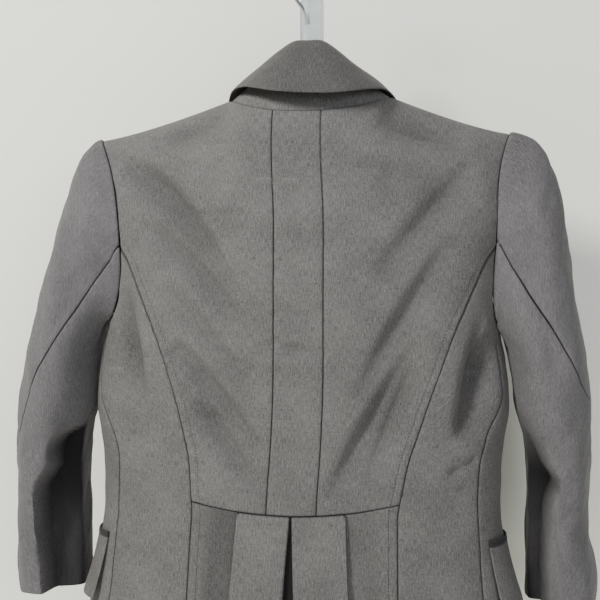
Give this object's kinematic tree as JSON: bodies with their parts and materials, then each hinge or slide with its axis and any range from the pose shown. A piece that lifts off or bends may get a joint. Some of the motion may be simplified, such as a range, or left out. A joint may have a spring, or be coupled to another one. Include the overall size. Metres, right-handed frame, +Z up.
{
  "type": "peplum jacket on a clothes hanger",
  "caption": "Fitted tailored jacket with bracelet-length sleeves, a turned-down collar and a pleated back peplum, hanging on a clear plastic hanger with a wire hook.",
  "frame": {"origin": "inside top of the hanger's hook, from which everything hangs", "axes": "+X to the wearer's right, +Y to the wearer's front, +Z up"},
  "size_m": [0.5895, 0.1937, 0.7536],
  "materials": {
    "cloth": "fine grey wool-blend suiting with an end-and-end mottle",
    "button": "dark polished horn-like plastic",
    "clear_plastic": "clear moulded plastic",
    "steel_wire": "plain steel wire"
  },
  "bodies": {
    "root": {"back_centre_strip": "cloth", "back_left": "cloth", "back_right": "cloth", "side_left": "cloth", "side_right": "cloth", "back_peplum": "cloth", "front_left": "cloth", "front_right": "cloth", "lapel_left": "cloth", "lapel_right": "cloth", "collar_stand": "cloth", "collar_fall": "cloth", "upper_sleeve_left": "cloth", "upper_sleeve_right": "cloth", "under_sleeve_left": "cloth", "under_sleeve_right": "cloth", "pocket_flap_left": "cloth", "pocket_flap_right": "cloth", "pocket_welt_left": "cloth", "pocket_welt_right": "cloth", "button_1": "button", "button_2": "button", "hanger_body": "clear_plastic", "hanger_hook": "steel_wire"}
  },
  "joints": []
}
